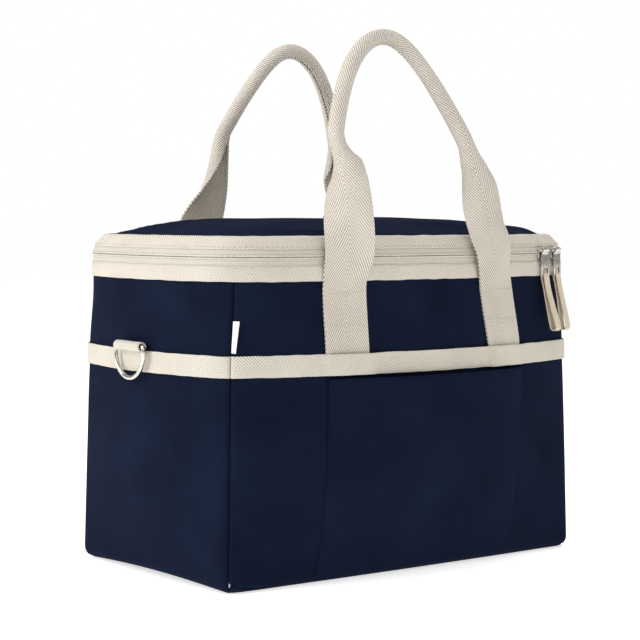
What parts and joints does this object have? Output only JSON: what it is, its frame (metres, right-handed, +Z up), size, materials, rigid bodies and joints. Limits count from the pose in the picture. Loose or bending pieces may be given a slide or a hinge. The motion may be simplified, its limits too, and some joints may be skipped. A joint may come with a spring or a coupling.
{
  "type": "insulated cooler bag",
  "caption": "Soft box-shaped insulated bag with a zipped hinged lid, two webbing carry handles, a front slip pocket and a ring at each end.",
  "frame": {"origin": "centre of the base, on the ground", "axes": "+X along the bag to its right end, the front faces -Y, +Z up"},
  "size_m": [0.424, 0.2938, 0.4508],
  "materials": {
    "navy_canvas": "plain woven cotton canvas",
    "ecru_webbing": "herringbone cotton webbing",
    "zip_tape": "woven zip tape",
    "zip_coil": "nylon coil",
    "ribbon": "narrow woven ribbon",
    "label": "satin woven label",
    "foam": "closed-cell foam",
    "foil_liner": "silvered wipe-clean film",
    "base_board": "stiff board",
    "nickel": "polished nickel"
  },
  "bodies": {
    "bag": {"front_panel": "navy_canvas", "back_panel": "navy_canvas", "left_end_panel": "navy_canvas", "right_end_panel": "navy_canvas", "base_panel": "navy_canvas", "base_board": "base_board", "base_foam": "foam", "front_foam": "foam", "back_foam": "foam", "left_foam": "foam", "right_foam": "foam", "liner_wall": "foil_liner", "liner_floor": "foil_liner", "front_pocket": "navy_canvas", "front_band": "ecru_webbing", "back_band": "ecru_webbing", "left_band": "ecru_webbing", "right_band": "ecru_webbing", "rim_webbing": "ecru_webbing", "zip_tape_body": "zip_tape", "zip_coil_body": "zip_coil", "lid_hinge_strip": "ecru_webbing", "front_handle_ends": "ecru_webbing", "back_handle_ends": "ecru_webbing", "left_ring_tab": "ecru_webbing", "right_ring_tab": "ecru_webbing", "side_label": "label"},
    "lid": {"lid_panel": "navy_canvas", "lid_foam": "foam", "lid_liner": "foil_liner", "lid_webbing": "ecru_webbing", "zip_tape_lid": "zip_tape", "zip_coil_lid": "zip_coil"},
    "front_handle": {"front_handle": "ecru_webbing"},
    "back_handle": {"back_handle": "ecru_webbing"},
    "left_ring": {"left_d_ring": "nickel"},
    "right_ring": {"right_d_ring": "nickel"},
    "front_slider": {"front_slider": "nickel"},
    "side_slider": {"side_slider": "nickel"},
    "front_puller": {"front_puller": "nickel"},
    "side_puller": {"side_puller": "nickel"},
    "front_pull_loop": {"front_pull_loop": "ribbon"},
    "side_pull_loop": {"side_pull_loop": "ribbon"}
  },
  "joints": [
    {"name": "lid_hinge", "type": "hinge", "parent": "bag", "child": "lid", "pos_m": [0, 0.112, 0.2778], "axis": [-1, 0, 0], "range_deg": [0, 62]},
    {"name": "front_handle_fold", "type": "hinge", "parent": "bag", "child": "front_handle", "pos_m": [0, -0.1365, 0.23615], "axis": [1, 0, 0], "range_deg": [0, 138]},
    {"name": "back_handle_fold", "type": "hinge", "parent": "bag", "child": "back_handle", "pos_m": [0, 0.124, 0.23615], "axis": [-1, 0, 0], "range_deg": [0, 138]},
    {"name": "left_ring_swing", "type": "hinge", "parent": "bag", "child": "left_ring", "pos_m": [-0.208, 0, 0.1905], "axis": [0, 1, 0], "range_deg": [0, 150]},
    {"name": "right_ring_swing", "type": "hinge", "parent": "bag", "child": "right_ring", "pos_m": [0.208, 0, 0.1905], "axis": [0, -1, 0], "range_deg": [0, 150]},
    {"name": "front_slider_travel", "type": "hinge", "parent": "bag", "child": "front_slider", "pos_m": [0, 0.55462, 0.26425], "axis": [0, 0, -1], "range_deg": [0, 2.6]},
    {"name": "side_slider_travel", "type": "hinge", "parent": "bag", "child": "side_slider", "pos_m": [0.13923, -0.06559, 0.26425], "axis": [0, 0, 1], "range_deg": [0, 50]},
    {"name": "front_puller_swing", "type": "hinge", "parent": "front_slider", "child": "front_puller", "pos_m": [0.13797, -0.12606, 0.26745], "axis": [-0.9801, -0.1987, 0], "range_deg": [0, 150]},
    {"name": "side_puller_swing", "type": "hinge", "parent": "side_slider", "child": "side_puller", "pos_m": [0.15645, -0.1219, 0.26745], "axis": [-0.9563, -0.2924, 0], "range_deg": [0, 150]},
    {"name": "front_loop_swing", "type": "hinge", "parent": "front_puller", "child": "front_pull_loop", "pos_m": [0.13797, -0.12606, 0.24435], "axis": [-0.9801, -0.1987, 0], "range_deg": [0, 80]},
    {"name": "side_loop_swing", "type": "hinge", "parent": "side_puller", "child": "side_pull_loop", "pos_m": [0.15645, -0.1219, 0.24435], "axis": [-0.9563, -0.2924, 0], "range_deg": [0, 80]}
  ]
}
